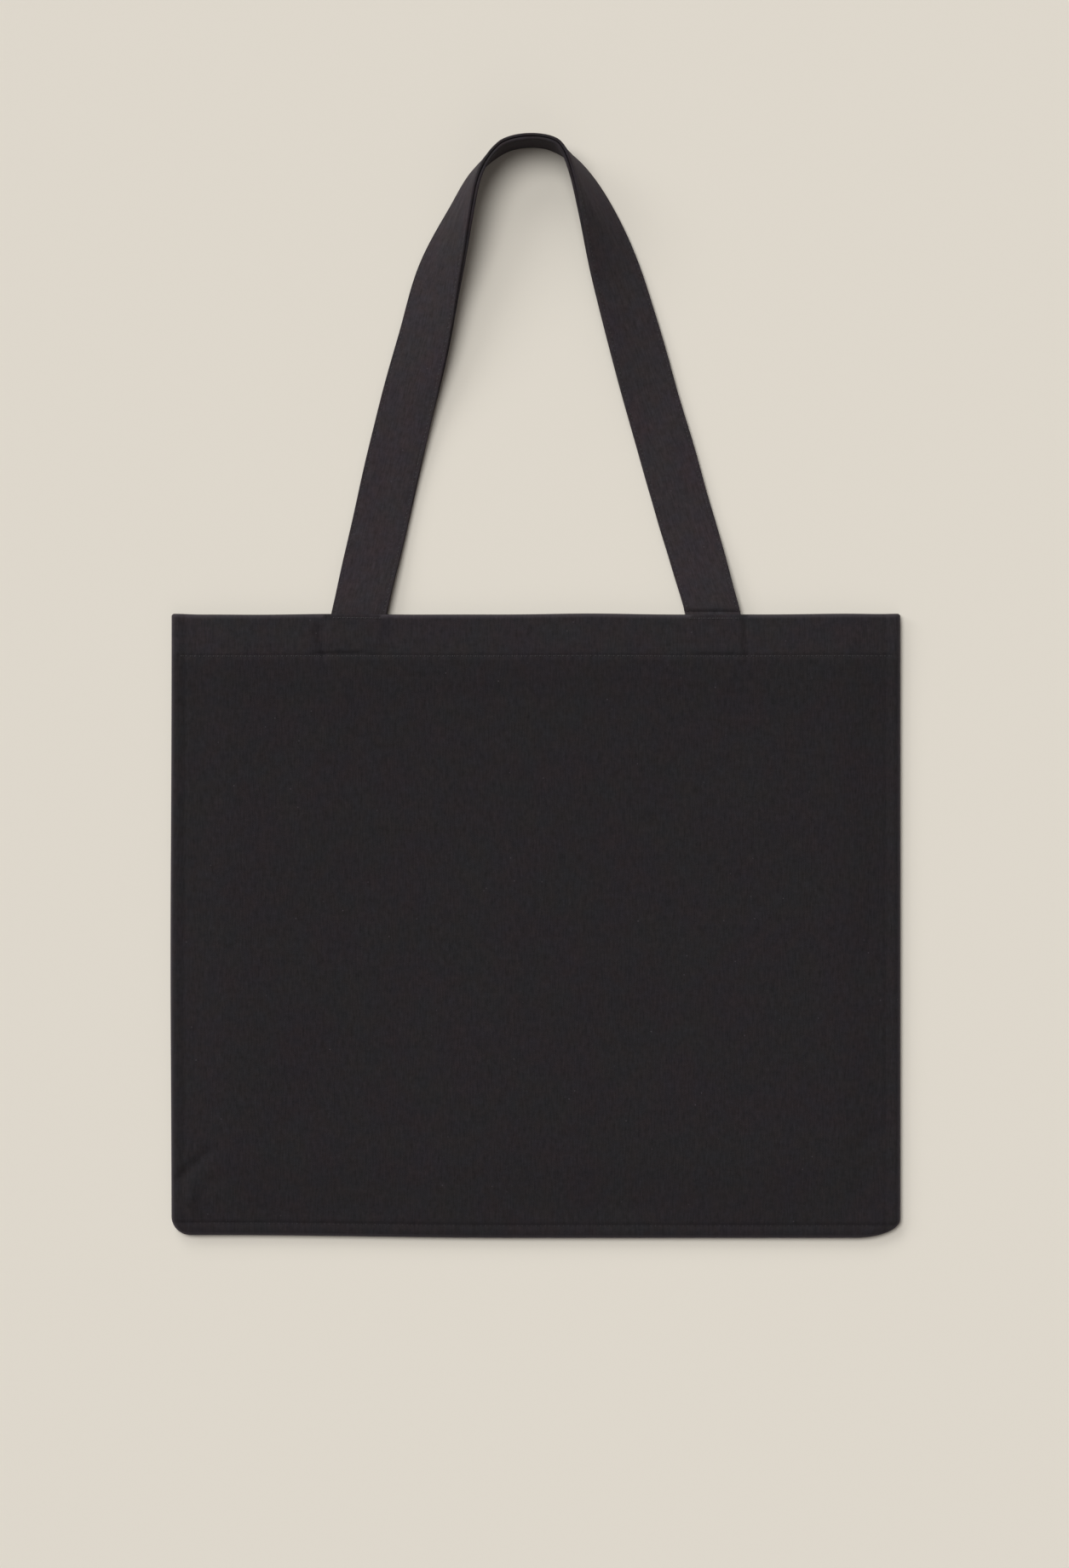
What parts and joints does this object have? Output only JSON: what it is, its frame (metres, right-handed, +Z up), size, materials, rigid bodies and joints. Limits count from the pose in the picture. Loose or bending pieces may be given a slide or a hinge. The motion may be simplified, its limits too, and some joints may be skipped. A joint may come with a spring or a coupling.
{
  "type": "canvas tote bag",
  "caption": "Flat canvas shopping tote with a stitched hem and two long shoulder straps; the mouth opens and the straps swing at their feet.",
  "frame": {"origin": "middle of the back panel, on the face that the bag lies on", "axes": "+X across the bag to the right of someone who looks at its front with the handles up, +Y from the bottom seam to the handles, +Z up out of the front panel"},
  "size_m": [0.46, 0.6914, 0.0354],
  "materials": {
    "canvas": "matte charcoal cotton canvas",
    "hem_canvas": "matte charcoal cotton canvas, folded",
    "strap_canvas": "matte charcoal canvas webbing",
    "thread": "black polyester sewing thread"
  },
  "bodies": {
    "bag": {"back_panel": "canvas", "left_side_seam": "canvas", "right_side_seam": "canvas", "bottom_seam": "canvas", "back_hem": "hem_canvas", "back_handle_tail_left": "strap_canvas", "back_handle_tail_right": "strap_canvas", "left_side_stitching": "thread", "right_side_stitching": "thread", "back_hem_stitching": "thread", "back_tack_stitching": "thread"},
    "front": {"front_panel": "canvas", "front_hem": "hem_canvas", "front_handle_tail_left": "strap_canvas", "front_handle_tail_right": "strap_canvas", "front_hem_stitching": "thread", "front_tack_stitching": "thread", "bottom_stitching": "thread"},
    "front_handle": {"front_handle": "strap_canvas", "front_handle_stitching": "thread"},
    "back_handle": {"back_handle": "strap_canvas", "back_handle_stitching": "thread"}
  },
  "joints": [
    {"name": "mouth_open", "type": "hinge", "parent": "bag", "child": "front", "pos_m": [0, -0.1965, 0.0027], "axis": [1, 0, 0], "range_deg": [0, 6]},
    {"name": "front_handle_swing", "type": "hinge", "parent": "front", "child": "front_handle", "pos_m": [0, 0.2015, 0.0108], "axis": [1, 0, 0], "range_deg": [0, 165]},
    {"name": "back_handle_swing", "type": "hinge", "parent": "bag", "child": "back_handle", "pos_m": [0, 0.2015, 0], "axis": [-1, 0, 0], "range_deg": [0, 165]}
  ]
}
